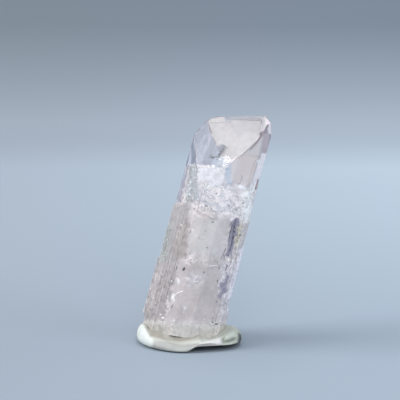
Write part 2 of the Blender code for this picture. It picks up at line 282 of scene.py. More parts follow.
def halved(points, faces, step):
    """The same triangles, with a new corner in the middle of every edge that is longer than step.

    On the back an edge may be BACK_COARSER times as long.
    """
    sides = np.sort(faces[:, [[0, 1], [1, 2], [2, 0]]], axis=2).reshape(-1, 2)
    edges, side_edge = np.unique(sides, axis=0, return_inverse=True)
    corners = points[faces]
    normals = np.cross(corners[:, 1] - corners[:, 0], corners[:, 2] - corners[:, 0])
    in_front = np.zeros(len(edges), bool)
    in_front[side_edge.reshape(-1, 3)[normals @ np.array(AHEAD) < 0]] = True
    limits = np.where(in_front, step, step * BACK_COARSER)
    is_long = np.linalg.norm(points[edges[:, 0]] - points[edges[:, 1]], axis=1) > limits
    middle = np.full(len(edges), -1)
    middle[is_long] = len(points) + np.arange(is_long.sum())
    new_faces = []
    for corners, middles in zip(faces.tolist(), middle[side_edge].reshape(-1, 3).tolist()):
        cuts = sum(m >= 0 for m in middles)
        while cuts in (1, 2) and not (middles[0] >= 0 and middles[2] < 0):
            corners = corners[1:] + corners[:1]
            middles = middles[1:] + middles[:1]
        a, b, c = corners
        ab, bc, ca = middles
        if cuts == 0:
            new_faces.append((a, b, c))
        elif cuts == 1:
            new_faces += [(a, ab, c), (ab, b, c)]
        elif cuts == 2:
            new_faces += [(ab, b, bc), (a, ab, bc), (a, bc, c)]
        else:
            new_faces += [(a, ab, ca), (ab, b, bc), (ca, bc, c), (ab, bc, ca)]
    return np.concatenate([points, points[edges[is_long]].mean(axis=1)]), np.array(new_faces)


def refine(shape, step):
    """Halves the long edges again and again, and turns edges inside flat faces for even triangles."""
    mesh = bpy.data.meshes.new("refined")
    for _ in range(REFINE_ROUNDS):
        shape.to_mesh(mesh)
        faces = np.zeros(len(mesh.polygons) * 3, int)
        mesh.polygons.foreach_get("vertices", faces)
        points, faces = halved(point_array(mesh), faces.reshape(-1, 3), step)
        mesh.clear_geometry()
        mesh.from_pydata(points.tolist(), [], faces.tolist())
        shape.clear()
        shape.from_mesh(mesh)
        flat_edges = [edge for edge in shape.edges if edge.calc_face_angle(1) < FLAT_ANGLE]
        bmesh.ops.beautify_fill(shape, faces=shape.faces, edges=flat_edges, method="ANGLE")
    bpy.data.meshes.remove(mesh)


def point_array(mesh, name="co"):
    """The places or normals of a mesh's vertices."""
    values = np.zeros(len(mesh.vertices) * 3)
    mesh.vertices.foreach_get(name, values)
    return values.reshape(-1, 3)


def put_attribute(mesh, name, values):
    """Stores a number or a colour for each vertex."""
    kind = "FLOAT_COLOR" if values.ndim == 2 else "FLOAT"
    layer = mesh.attributes.new(name, kind, "POINT")
    layer.data.foreach_set("color" if values.ndim == 2 else "value", values.astype(np.float32).ravel())


SKIN_AREAS = (
    # Each area's outline on the front, then the width of its soft edge in millimetres, how much of the
    # stone the bloom covers, how crackled it is and its colour. A later area lies over an earlier one.
    # the lit band under the top edge
    (((6.7, 39.3), (12.9, 39.3), (12.6, 38.4), (7.1, 38.3)),
     0.5, 0.5, 0, "#afb6bf"),
    # the beige end of the top edge, a painted reflection of the putty
    (((3.4, 38.8), (6.7, 39.3), (7.1, 38.2), (3.8, 38.2)),
     0.4, 0.6, 0, "#cac6c7"),
    # the grey notch beside it
    (((6.0, 39.2), (7.2, 39.2), (7.4, 38.1), (6.4, 38.1)),
     0.2, 0.5, 0, "#a4a9b4"),
    # the strip beside the point
    (((12.4, 38.5), (13.1, 39.2), (13.7, 37.6), (12.6, 36.1)),
     0.2, 0.7, 0, "#c5c3c7"),
    # the painted highlight at the right corner
    (((13.3, 39.2), (14.5, 38.1), (14.6, 35.9), (13.6, 36.1), (13.3, 37.8)),
     0.15, 0.9, 0, "#f7ecf2"),
    # the limpid window at the left
    (((3.3, 38.8), (0.7, 36.2), (1.4, 30.7), (5.7, 30.7), (4.7, 34.2), (3.6, 36.8)),
     0.15, 0.5, 0, "#a9b0bf"),
    # the grey smudge at the left of the veil
    (((4.7, 33.8), (5.7, 34.5), (6.6, 33.9), (5.9, 32.8), (5.1, 32.8)),
     0.2, 0.6, 0, "#868b97"),
    # the greyer pane in the veil
    (((6.9, 38.0), (12.4, 38.1), (11.9, 36.1), (7.4, 35.7)),
     1.0, 0.15, 0, "#acb0ba"),
    # the pane of grey light beside the point
    (((13.4, 36.4), (10.5, 33.7), (9.3, 32.5), (12.9, 32.1)),
     0.2, 0.85, 0, "#d3d0d1"),
    # the clear rose pane
    (((7.1, 31.6), (9.5, 32.6), (12.9, 32.1), (12.0, 26.8), (10.8, 25.9), (7.2, 26.8)),
     0.3, 0.82, 0, "#ddd3d3"),
    # the red-grey reflection along the point's edge
    (((13.5, 37.8), (13.7, 37.4), (12.6, 35.7), (11.7, 34.4), (10.5, 33.2), (10.4, 33.4), (11.6, 34.7),
      (12.5, 36.1)),
     0.08, 0.85, 0, "#94868c"),
    # the dark edge of the right face
    (((13.9, 35.9), (14.4, 35.9), (13.6, 32.8), (13.0, 33.0)),
     0.12, 0.85, 0, "#8d8597"),
    # the lighter edge below it
    (((12.6, 33.0), (13.7, 32.8), (11.5, 20.9), (9.1, 20.9), (10.6, 27.1)),
     0.12, 0.9, 0, "#fbf5fb"),
    # the grey spear at the left
    (((0.5, 36.2), (-0.6, 30.6), (1.4, 30.6)),
     0.06, 0.85, 0, "#7f8696"),
    # the light down the grey spear
    (((0.2, 33.7), (0.4, 33.7), (0.4, 30.6), (-0.1, 30.6)),
     0.06, 0.6, 0, "#bcc2ce"),
    # the left edge under the tip
    (((-0.5, 30.7), (0.0, 30.7), (-1.4, 24.2), (-2.6, 24.2)),
     0.2, 0.6, 0.2, "#a9a9b8"),
    # the green-grey crackled column
    (((0.1, 30.6), (1.6, 30.6), (1.7, 24.4), (-0.9, 23.7)),
     0.3, 0.66, 0.5, "#b4b6b6"),
    # the crackled belt
    (((1.7, 27.8), (6.4, 27.5), (11.2, 27.1), (11.5, 22.0), (7.4, 21.4), (1.2, 23.7)),
     0.5, 0.78, 0.7, "#cfcbce"),
    # the whiter right half of the belt
    (((5.2, 27.1), (11.2, 27.5), (11.9, 21.6), (7.4, 21.4), (4.3, 22.7)),
     0.6, 0.86, 0.7, "#ede7e9"),
    # the white cleavage patch
    (((1.6, 30.4), (5.9, 30.2), (3.4, 28.3), (1.9, 27.8)),
     0.12, 0.94, 0.1, "#e4e4eb"),
    # the smoother patch beside it
    (((5.9, 30.0), (6.4, 29.9), (6.0, 27.5), (2.4, 26.8), (3.4, 28.2)),
     0.3, 0.88, 0.3, "#dadadf"),
    # the clear lens
    (((6.2, 30.2), (7.2, 31.1), (7.3, 27.5), (6.4, 27.1)),
     0.25, 0.5, 0.1, "#cbd2de"),
    # the blue window of the middle
    (((1.2, 21.8), (6.7, 21.4), (5.7, 14.7), (-0.7, 15.8)),
     0.7, 0.84, 0, "#d4d0d1"),
    # the rust stain
    (((8.3, 21.1), (9.3, 20.8), (8.6, 16.8), (7.7, 16.8)),
     0.35, 0.85, 0.5, "#d6cfc0"),
    # the lilac band at the right
    (((9.1, 15.8), (9.8, 17.8), (8.6, 9.2), (7.1, 8.9)),
     0.3, 0.85, 0.1, "#fcf4fe"),
    # the left flank
    (((-0.5, 24.0), (-2.9, 23.7), (-4.3, 20.4), (-8.1, 3.7), (-4.6, 3.7), (-1.9, 14.1), (0.5, 23.7)),
     0.4, 0.55, 0.15, "#c6c1c2"),
    # the brown-grey band
    (((0.2, 20.9), (-1.9, 20.4), (-3.1, 14.9), (-0.9, 14.7)),
     0.3, 0.62, 0.25, "#c6bdba"),
    # the green-grey band at the left edge
    (((-2.7, 22.3), (-3.9, 20.4), (-5.3, 14.1), (-3.9, 14.1)),
     0.3, 0.5, 0.35, "#bcc1be"),
    # the streaked lower left
    (((-2.2, 13.0), (-6.0, 12.7), (-8.1, 3.7), (-4.5, 3.7)),
     0.4, 0.6, 0.3, "#c6bebe"),
    # the milky rose face
    (((-1.5, 14.1), (5.7, 13.7), (4.7, 3.7), (-3.9, 4.1)),
     0.6, 0.9, 0.03, "#c6bebf"),
    # the streaked lower right
    (((5.7, 14.1), (9.1, 13.7), (7.6, 3.7), (5.0, 3.4)),
     0.3, 0.88, 0.3, "#dbd6dc"),
    # the cream foot
    (((-8.1, 4.1), (3.1, 3.4), (3.1, 0.5), (-6.7, 1.3)),
     0.4, 0.82, 0.10, "#d6d2ce"),
    # the foot's right end
    (((2.8, 3.0), (6.4, 3.7), (6.0, 1.3), (2.8, 0.6)),
     0.3, 0.85, 0.15, "#dad6d4"),
    # the dark outline of the spear
    (((0.6, 36.4), (-0.7, 30.7), (-0.3, 30.7), (0.7, 35.6)),
     0.06, 0.9, 0, "#666c7a"),
    # the foot's left end
    (((-7.9, 3.7), (-2.9, 3.0), (-3.3, 2.0), (-6.7, 1.3)),
     0.4, 0.8, 0.2, "#c6c2bd"),
    # the rosy edge beside the pane of grey light
    (((12.8, 36.1), (13.9, 36.2), (13.5, 32.8), (12.4, 32.8)),
     0.2, 0.6, 0, "#dccdd6"),
    # the lighter right edge of the lower body
    (((9.0, 17.1), (10.2, 17.1), (9.0, 12.3), (7.2, 7.5), (6.5, 7.5), (7.7, 12.3)),
     0.3, 0.92, 0.2, "#f6f1fa"),
    # the bright crumbs at the corner of the three faces
    (((5.2, 31.9), (6.4, 32.5), (7.2, 31.4), (6.7, 30.6), (5.2, 30.6)),
     0.5, 0.4, 0.5, "#d9d9de"),
    # the violet band low at the right
    (((6.6, 12.3), (6.9, 11.3), (6.2, 9.2), (5.4, 7.7), (5.1, 8.0), (5.6, 9.9), (6.1, 11.6)),
     0.25, 0.85, 0.1, "#9c98ab"),
    # the crumpled white patch low in the middle
    (((-1.2, 11.6), (0.9, 12.3), (2.8, 11.6), (1.9, 10.3), (-0.2, 10.3)),
     0.8, 0.85, 0.25, "#d3cdd1"),
    # the bright edge at the right of the belt
    (((9.6, 26.8), (11.9, 27.1), (10.8, 20.9), (9.0, 20.9), (9.3, 23.9)),
     0.5, 0.93, 0.6, "#ffffff"),
    # the painted shade around the cleavage lines
    (((7.2, 21.1), (8.5, 21.6), (8.2, 18.5), (7.2, 15.1), (6.6, 14.7), (6.3, 15.1), (6.8, 17.8)),
     0.2, 0.85, 0.2, "#9290a0"),
    # a soft white spot
    (((-2.2, 11.1), (-1.5, 11.0), (-1.8, 10.3), (-2.1, 10.6)),
     0.25, 0.93, 0.1, "#f4f1f5"),
    # another one lower down
    (((-1.1, 6.5), (-0.5, 6.3), (-0.7, 5.7), (-1.0, 5.9)),
     0.25, 0.93, 0.1, "#eeebf0"),
    # the bright blob at the end of the curved crack
    (((-2.8, 8.3), (-2.4, 8.1), (-2.5, 7.1), (-3.0, 7.3)),
     0.25, 0.95, 0.2, "#ffffff"),
)

# Outside the areas: the colour of the skin, how much it covers below the tip, and how much more in clouds.
BODY_TINT = "#e0d8d9"
LOWER_BODY_BLOOM = 0.66
CLOUD_BLOOM = 0.12
# Heights up the axis between which the skin starts, its borders get wavy, and it gets mottled.
BODY_TOP = (30.6, 29.6)
WAVY_BORDERS = (30.0, 28.5)
MOTTLED_BODY = (31.0, 29.0)
# On the back the skin thins out between these heights and is gone above them.
BARE_BACK = (19.0, 22.0)
# How far the borders of the areas wander, in millimetres, and how strong mottles and upright streaks are.
BORDER_WAVE = 0.35
MOTTLE = 0.08
STREAK = 0.07
# The face that looks to the left of the camera gets a little painted shade: which way it looks, over how
# many degrees the shade fades, and how much it darkens.
LEFT_FACE_AZIMUTH = -27
LEFT_FACE_SPREAD = 9
LEFT_FACE_PAINTED_SHADE = 0.10
# A thinner place in the skin on the crystal's right side: where it starts and where it is full, going in
# from the side, from the front, from the back, from below and from above, and how much clearer it is.
THIN_SIDE = (5.0, 5.4)
THIN_FRONT = (-1.9, -1.4)
THIN_BACK = (0.8, 0.2)
THIN_BELOW = (23.5, 24.5)
THIN_ABOVE = (29.5, 28.5)
THINNER = 0.25


def line_gap(front, line):
    """The distance on the front from a line of straight pieces, in millimetres."""
    nearest = np.full(len(front[0]), np.inf)
    for (x0, y0), (x1, y1) in zip(line, line[1:]):
        x = front[0] - x0
        y = front[1] - y0
        along = np.clip((x * (x1 - x0) + y * (y1 - y0)) / ((x1 - x0) ** 2 + (y1 - y0) ** 2), 0, 1)
        nearest = np.minimum(nearest, np.hypot(x - along * (x1 - x0), y - along * (y1 - y0)))
    return nearest


def area(front, outline, soft):
    """1 inside an outline on the front and 0 outside it, with an edge soft millimetres wide."""
    x, y = front
    inside = np.zeros(len(x), bool)
    rim = outline + outline[:1]
    for (x0, y0), (x1, y1) in zip(rim, rim[1:]):
        if y0 != y1:
            inside ^= ((y0 > y) != (y1 > y)) & (x < x0 + (y - y0) * (x1 - x0) / (y1 - y0))
    nearest = line_gap(front, rim)
    return ramp(-soft, soft, np.where(inside, nearest, -nearest))


def skin_values(own, front, facing, azimuth):
    """For each place: how crackled the skin is, how much it covers, its colour with some painted light and
    shade, and how bare it is.
    """
    side, depth, height = own.T
    cloud = ramp(-0.8, 0.9, grain(own, 3.0, 11, (1, 1, 1.8)))
    body = ramp(*BODY_TOP, height + 0.4 * grain(own, 1.2, 3))
    crackled = body * (0.15 + 0.5 * ramp(0.0, 0.8, grain(own, 2.4, 7, (1, 1, 1.6))))
    bloom = body * (LOWER_BODY_BLOOM + CLOUD_BLOOM * cloud)
    tint = np.tile(linear(BODY_TINT), (len(own), 1))
    wavy = ramp(*WAVY_BORDERS, height) * BORDER_WAVE
    bent = (front[0] + wavy * grain(own, 0.9, 41), front[1] + wavy * grain(own, 0.9, 42))
    for outline, soft, light, grit, colour in SKIN_AREAS:
        share = area(bent, outline, soft) * facing
        crackled = crackled * (1 - share) + grit * share
        bloom = bloom * (1 - share) + light * share
        tint = tint * (1 - share[:, None]) + np.array(linear(colour)) * share[:, None]
    bare = ramp(*BARE_BACK, height) * (1 - facing)
    thin = ramp(*THIN_SIDE, side) * ramp(*THIN_FRONT, depth) * ramp(*THIN_BACK, depth)
    thin *= ramp(*THIN_BELOW, height) * ramp(*THIN_ABOVE, height)
    limpid = np.maximum(bare, THINNER * thin)
    mottle_and_painted_shade = 1 + MOTTLE * (grain(own, 2.0, 51) + 0.8 * grain(own, 0.5, 52)) * ramp(*MOTTLED_BODY, height)
    # Painted shade darkens the face that looks to the left of the camera.
    mottle_and_painted_shade *= 1 - LEFT_FACE_PAINTED_SHADE * np.exp(-((azimuth - LEFT_FACE_AZIMUTH) / LEFT_FACE_SPREAD) ** 2)
    tint[:, :3] *= mottle_and_painted_shade[:, None]
    streaks = 1 + STREAK * np.clip(crackled * 3, 0.25, 1) * grain(own, 1.1, 23, (1, 1, 10))
    return crackled * (1 - limpid), np.clip(bloom * streaks, 0, 1) * (1 - limpid), tint, limpid


# The relief in millimetres: fine ripples, upright growth lines and how deep the etching goes.
RIPPLE = 0.02
STRIATION = 0.005
ETCH_DEPTH = 0.10
# How steeply the etched facets tip, and the heights between which the growth lines start.
FACET_SLOPE = 0.10
LINED_BODY = (30.0, 28.0)


def sculpt_crystal(mesh):
    """Sinks the skin in small ripples and upright striations, and stores where it is etched."""
    world = point_array(mesh)
    normals = point_array(mesh, "normal")
    own = to_crystal(world)
    front = to_front(world)
    facing = facing_front(normals)
    turned = normals @ np.array(TO_CRYSTAL)[:3, :3].T
    azimuth = np.degrees(np.arctan2(turned[:, 0], -turned[:, 1]))
    crackled, bloom, tint, limpid = skin_values(own, front, facing, azimuth)
    fine = grain(own, 0.5, 13)
    large = facets(own, 1.5, FACET_SLOPE, 1, (1, 1, 1.5))
    small = facets(own, 0.6, FACET_SLOPE, 2, (1, 1, 1.3))
    lines = grain(own, 0.8, 19, (1, 1, 24))
    lined = ramp(*LINED_BODY, own[:, 2]) * (0.25 + 0.75 * np.minimum(crackled * 2, 1)) * (1 - limpid)
    relief = crackled * (large + small + RIPPLE * fine) + lined * STRIATION * lines
    relief -= crackled * ETCH_DEPTH
    sunk = world + normals * (np.minimum(relief, 0.0) * MM)[:, None]
    mesh.vertices.foreach_set("co", sunk.ravel())
    mesh.update()
    put_attribute(mesh, "etched", crackled)
    put_attribute(mesh, "bloom", bloom)
    put_attribute(mesh, "tint", tint)


def crystal_mesh():
    """The CAD crystal with a fine, rippled skin; its edges between faces stay sharp."""
    shape = merged_copy("crystal")
    refine(shape, MESH_STEP)
    for edge in shape.edges:
        edge.smooth = edge.calc_face_angle(0) < SHARP_EDGE
        edge.seam = edge.calc_face_angle(0) > SKIN_SHARP_EDGE
    for face in shape.faces:
        face.smooth = True
    mesh = bpy.data.meshes.new("danburite_crystal")
    shape.to_mesh(mesh)
    shape.free()
    return mesh


# How far the skin lies off the stone, in millimetres.
SKIN_RISE = 0.008


def make_crystal():
    """The stone and, on it, its thin etched skin. Gives back the skin."""
    mesh = crystal_mesh()
    sculpt_crystal(mesh)
    skin_mesh = mesh.copy()
    skin_mesh.name = "etched_skin"
    for edge in skin_mesh.edges:
        edge.use_edge_sharp = edge.use_seam
    lifted = point_array(skin_mesh) + point_array(skin_mesh, "normal") * SKIN_RISE * MM
    lifted = np.clip(lifted, *CAD_BOX)
    skin_mesh.vertices.foreach_set("co", lifted.ravel())
    crystal = link_object("danburite_crystal", mesh, danburite())
    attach(crystal, "root")
    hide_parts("crystal")
    skin = link_object("etched_skin", skin_mesh, etched_skin())
    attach(skin, "root")
    return skin


# Veils, cracks and grains inside the crystal

def patchy_sheet(name, patches, cover, colour, roughness):
    """A sheet that hides the stone in patches.

    patches is the size of the noise in millimetres, its detail and its roughness. cover is the noise value
    where it starts to hide and the one where it hides most, then how much it hides at the two.
    """
    material, tree, output = new_material(name)
    size, detail, unevenness = patches
    place = add_node(tree, "ShaderNodeTexCoord")
    uneven = add_node(tree, "ShaderNodeTexNoise", {
        "Scale": 1 / (size * MM),
        "Detail": detail,
        "Roughness": unevenness,
    }, {"Vector": place.outputs["Object"]})
    limits = dict(zip(("From Min", "From Max", "To Min", "To Max"), cover))
    hidden = add_node(tree, "ShaderNodeMapRange", limits, {"Value": uneven.outputs["Fac"]})
    shader = add_node(tree, "ShaderNodeBsdfPrincipled", {
        "Base Color": linear(colour),
        "Roughness": roughness,
    }, {"Alpha": hidden.outputs["Result"]})
    tree.links.new(shader.outputs["BSDF"], output.inputs["Surface"])
    return material


def two_toned(name, size, detail, first, last, roughness):
    """A solid mark whose colour wanders in patches size millimetres wide.

    first and last are the noise value and the colour at which the change starts and ends.
    """
    material, tree, output = new_material(name)
    place = add_node(tree, "ShaderNodeTexCoord")
    uneven = add_node(tree, "ShaderNodeTexNoise", {"Scale": 1 / (size * MM), "Detail": detail}, {
        "Vector": place.outputs["Object"],
    })
    tones = add_node(tree, "ShaderNodeValToRGB", links={"Fac": uneven.outputs["Fac"]})
    for stop, (value, colour) in zip(tones.color_ramp.elements, (first, last)):
        stop.position = value
        stop.color = linear(colour)
    shader = add_node(tree, "ShaderNodeBsdfPrincipled", {"Roughness": roughness}, {
        "Base Color": tones.outputs["Color"],
    })
    tree.links.new(shader.outputs["BSDF"], output.inputs["Surface"])
    return material


def healed_veil():
    """A healed fracture: a sheet of tiny fluid pockets that looks like white silk in the clear stone."""
    return patchy_sheet("healed_veil", (0.8, 5.0, 0.65), (0.30, 0.62, 0.80, 0.97), "#f6f6f7", 0.5)


def silk_sheet():
    """A thin basal fracture veil: patches of white silk with clear stone between them."""
    return patchy_sheet("silk_sheet", (2.2, 6.0, 0.7), (0.36, 0.62, 0.12, 0.60), "#fdf9fa", 0.5)


def thin_flake():
    """A thin flake of air under the etched skin: half see-through, pearly."""
    return patchy_sheet("thin_flake", (0.6, 2.0, 0.5), (0.38, 0.68, 0.10, 0.75), "#fafafc", 0.35)


def crack_painted_shade():
    """A gaping cleavage crack seen edge on: violet-grey, with painted shade where no light comes back."""
    return two_toned("crack_painted_shade", 0.7, 3.0, (0.38, "#3f3b4b"), (0.66, "#8d899b"), 0.45)


def brown_film():
    """A thin red-brown film of iron in a small crack."""
    return two_toned("brown_film", 0.5, 3.0, (0.35, "#756a70"), (0.65, "#b3a6ab"), 0.45)


def mineral_grain():
    """Dark grains of another mineral that grew in the crystal."""
    return two_toned("mineral_grain", 0.4, 2.0, (0.35, "#3f4148"), (0.7, "#84858b"), 0.5)


def air_flake_and_glint():
    """A flake of trapped air under the skin: white, with a glassy sheen. At the glints its white is a
    painted highlight.
    """
    return two_toned("air_flake_and_glint", 0.5, 2.0, (0.3, "#e6e6ec"), (0.6, "#ffffff"), 0.22)


def plate(outline, depth, thickness):
    """A thin closed plate under the face that the outline's middle lies on. The outline is on the front."""
    middle = np.mean(outline, axis=0)
    centre, normal = front_spot(*middle, depth)
    shape = bmesh.new()
    verts = []
    for across, up in outline:
        ray = front_ray(across, up)
        reach = (centre - CAMERA_PLACE).dot(normal) / ray.dot(normal)
        verts.append(shape.verts.new(CAMERA_PLACE + ray * reach))
    face = shape.faces.new(verts)
    made = bmesh.ops.extrude_face_region(shape, geom=[face])
    for vert in [v for v in made["geom"] if isinstance(v, bmesh.types.BMVert)]:
        vert.co -= normal * thickness * MM
    bmesh.ops.recalc_face_normals(shape, faces=shape.faces)
    return shape


def joined(name, shapes, material):
    """Several bmeshes as one object."""
    mesh = bpy.data.meshes.new(name)
    whole = bmesh.new()
    for shape in shapes:
        part = bpy.data.meshes.new("part")
        shape.to_mesh(part)
        shape.free()
        whole.from_mesh(part)
        bpy.data.meshes.remove(part)
    whole.to_mesh(mesh)
    whole.free()
    return link_object(name, mesh, material)


BASAL_VEILS = (
    # height up the axis, then how the sheet tips to the right and to the back, in degrees
    (22.0, 14, -12),
    (18.4, -9, -7),
    (14.2, 17, 9),
    (9.8, -12, -12),
    (5.6, 8, 15),
)
UPRIGHT_VEILS = (
    # which way the sheet faces, how far from the axis it stands, and its lowest and highest reach
    (-27, 2.8, 2.5, 24.0),
    (20, 2.6, 2.0, 23.0),
)
# How much of the crystal's section a veil fills, and the heights between which a basal veil may lie.
VEIL_SHARE = 0.93
VEIL_REACH = (1.0, 39.0)
# In millimetres: the longest edge of its mesh, how far and how widely it waves, and how thick it is.
VEIL_STEP = 0.5
VEIL_WAVE = 0.7
VEIL_WAVE_SIZE = 2.2
VEIL_THICKNESS = 0.03


def cut_sheet(middle, normal, low, high):
    """A wavy sheet inside the crystal: the section of the CAD crystal by a plane, between two heights."""
    centre = TO_WORLD @ (Vector(middle) * MM)
    facing = TO_WORLD.to_3x3() @ Vector(normal)
    axis = TO_WORLD.to_3x3() @ Vector((0, 0, 1))
    shape = merged_copy("crystal")
    for height, side in ((low, -1), (high, 1)):
        bmesh.ops.bisect_plane(
            shape, geom=shape.verts[:] + shape.edges[:] + shape.faces[:],
            plane_co=TO_WORLD @ Vector((0, 0, height * MM)), plane_no=axis * side, clear_outer=True)
    bmesh.ops.holes_fill(shape, edges=shape.edges[:])
    bmesh.ops.bisect_plane(
        shape, geom=shape.verts[:] + shape.edges[:] + shape.faces[:],
        plane_co=centre, plane_no=facing, clear_inner=True, clear_outer=True)
    bmesh.ops.contextual_create(shape, geom=shape.edges[:])
    bmesh.ops.triangulate(shape, faces=shape.faces[:])
    bulk = sum((v.co for v in shape.verts), Vector()) / len(shape.verts)
    for vert in shape.verts:
        vert.co = bulk + (vert.co - bulk) * VEIL_SHARE
    refine(shape, VEIL_STEP * MM)
    for vert in shape.verts:
        vert.co += facing * noise.noise(vert.co / (VEIL_WAVE_SIZE * MM)) * VEIL_WAVE * MM
    made = bmesh.ops.extrude_face_region(shape, geom=shape.faces[:])
    for vert in [v for v in made["geom"] if isinstance(v, bmesh.types.BMVert)]:
        vert.co -= facing * VEIL_THICKNESS * MM
    bmesh.ops.recalc_face_normals(shape, faces=shape.faces[:])
    return shape


def basal_veil(height, tip_right, tip_back):
    """A sheet across the prism."""
    tip = Matrix.Rotation(math.radians(tip_right), 3, "Y") @ Matrix.Rotation(math.radians(tip_back), 3, "X")
    return cut_sheet((0, 0, height), tip @ Vector((0, 0, 1)), *VEIL_REACH)


def upright_veil(azimuth, distance, low, high):
    """A sheet along the prism. Azimuth 0 faces the camera, and 90 the right."""
    turn = math.radians(azimuth)
    normal = Vector((math.sin(turn), -math.cos(turn), 0))
    return cut_sheet(normal * distance + Vector((0, 0, (low + high) / 2)), normal, low, high)


VEILS = (
    # depth under the face, then the outline as seen from the front
    (0.35, ((3.36, 38.5), (3.96, 36.2), (4.82, 34.0), (5.68, 32.1), (6.6, 30.7),
            (9.2, 32.6), (11.7, 35.0), (12.7, 36.9), (12.4, 38.2), (7.4, 38.4))),
    (0.25, ((1.56, 30.1), (5.6, 30.2), (3.45, 28.5), (1.9, 28.0))),
)


def make_veils():
    """The healed veils near the front and the silk sheets deeper in the stone."""
    plates = [plate(outline, depth, VEIL_THICKNESS) for depth, outline in VEILS]
    veils = joined("healed_veils", plates, healed_veil())
    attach(veils, "root")
    shapes = [basal_veil(*sheet) for sheet in BASAL_VEILS]
    shapes += [upright_veil(*sheet) for sheet in UPRIGHT_VEILS]
    sheets = joined("silk_sheets", shapes, silk_sheet())
    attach(sheets, "root")


# The outlines of cracks and grains, as seen from the front.
# Dark plates of painted shade along the cleavage lines.
DARK_CRACKS = (
    # the thick dark cleavage line
    ((8.2, 21.5), (8.0, 20.2), (7.9, 19.2), (7.5, 17.3), (6.9, 15.1), (6.7, 15.1), (7.2, 17.0),
     (7.5, 18.5), (7.6, 20.1), (8.0, 21.4)),
    # the thin dark line beside it
    ((7.5, 20.5), (7.1, 19.0), (6.9, 17.9), (6.8, 18.0), (7.0, 19.1), (7.4, 20.4)),
    # two thin lines below
    ((6.4, 16.4), (6.0, 15.4), (5.5, 14.5), (5.4, 14.5), (5.9, 15.5), (6.3, 16.5)),
    ((6.1, 15.3), (6.1, 14.2), (6.0, 14.2), (6.0, 15.3)),
    # the zigzag under them
    ((6.4, 13.7), (6.7, 13.4), (6.3, 12.6), (6.2, 12.6), (6.5, 13.4), (6.3, 13.6)),
    # the short dark crack under the curved one
    ((-2.7, 6.8), (-2.8, 6.5), (-3.2, 5.9), (-3.2, 6.0), (-2.9, 6.6)),
)
# White plates: pale cracks, and painted highlights where the cracks glint.
WHITE_CRACKS_AND_GLINTS = (
    # the painted highlight of the bright glint in the rose pane
    ((8.3, 27.1), (8.8, 27.4), (9.5, 27.1), (9.9, 26.7), (9.3, 26.5), (8.6, 26.6)),
    # the painted highlights of the upright glints beside it
    ((11.6, 31.5), (12.1, 31.6), (12.4, 31.3), (12.2, 31.0), (11.8, 31.1)),
    ((11.8, 30.7), (12.2, 30.7), (12.2, 30.4), (11.9, 30.3)),
    # the curved white crack
    ((-1.0, 9.0), (-2.0, 8.7), (-2.5, 8.2), (-2.7, 7.6), (-2.6, 8.2), (-2.0, 8.8), (-1.1, 9.1)),
    # small painted highlights, white sparks beside the dark lines
    ((6.7, 14.7), (6.9, 14.6), (6.9, 14.2), (6.7, 14.3)),
    ((5.8, 11.8), (6.0, 11.7), (5.9, 11.4), (5.7, 11.5)),
    ((6.3, 7.5), (6.5, 7.4), (6.4, 7.1)),
    ((5.0, 9.2), (5.2, 9.1), (5.1, 8.9)),
    ((2.3, 3.4), (2.6, 3.3), (2.5, 3.1)),
    # the faint level line
    ((3.4, 13.4), (4.8, 13.5), (4.8, 13.4), (3.4, 13.3)),
)
SPECKS = (
    # across and up on the front, then width and height
    (-0.9, 12.8, 0.41, 0.58),
    (-2.1, 13.1, 0.14, 0.55),
    (2.6, 12.3, 0.31, 0.22),
    (4.1, 20.9, 0.34, 0.19),
    (3.1, 16.5, 0.28, 0.19),
    (2.8, 19.4, 0.26, 0.14),
    (4.0, 3.7, 0.34, 0.26),
    (4.7, 3.4, 0.38, 0.29),
    (4.1, 4.4, 0.17, 0.17),
    (3.7, 32.1, 0.52, 0.33),
    (4.2, 32.0, 0.45, 0.41),
    (4.7, 32.2, 0.31, 0.24),
    (5.1, 32.3, 0.45, 0.62),
    (5.4, 32.9, 0.31, 0.55),
    (5.8, 33.4, 0.28, 0.45),
    (3.9, 32.5, 0.21, 0.17),
    (4.8, 31.7, 0.28, 0.21),
    (6.0, 34.0, 0.24, 0.31),
    (8.8, 18.7, 0.21, 0.26),
    (8.4, 19.6, 0.15, 0.21),
    (5.2, 13.0, 0.15, 0.34),
    (4.9, 10.8, 0.17, 0.38),
    (4.7, 7.2, 0.17, 0.28),
    (0.9, 23.2, 0.21, 0.14),
    (-4.5, 15.3, 0.14, 0.24),
    (8.1, 23.0, 0.24, 0.14),
    (9.3, 24.2, 0.21, 0.14),
    (6.9, 23.7, 0.21, 0.15),
    (2.8, 24.5, 0.28, 0.12),
    (0.2, 19.2, 0.12, 0.48),
    (1.7, 18.2, 0.17, 0.14),
)
# The red-brown wedge at the right edge of the rose pane.
WEDGE = ((11.8, 28.5), (12.0, 28.2), (11.7, 26.6), (11.4, 26.5), (11.2, 27.0))
# In millimetres: how deep a mark's top lies, where less than 0 stands out of the face, and how much that
# changes for a glint; then how thick a mark is.
MARK_DEPTH = -0.02
GLINT_CHANGE = -0.01
MARK_THICKNESS = 0.04
# A speck's corners, how far they lie out as a share of its size and how unevenly, and how far it leans to
# the right for each millimetre up.
SPECK_CORNERS = 6
SPECK_REACH = 0.62
SPECK_UNEVEN = 0.25
SPECK_LEAN = 0.27


def speck_outline(across, up, wide, tall, seed):
    """An uneven hexagon on the front, leaning like the axis."""
    points = []
    for i in range(SPECK_CORNERS):
        turn = math.tau * i / SPECK_CORNERS
        reach = SPECK_REACH + SPECK_UNEVEN * noise.noise(Vector((seed * 3.1, i * 1.7, 0)))
        rise = math.sin(turn) * tall * reach
        points.append((across + math.cos(turn) * wide * reach + SPECK_LEAN * rise, up + rise))
    return points


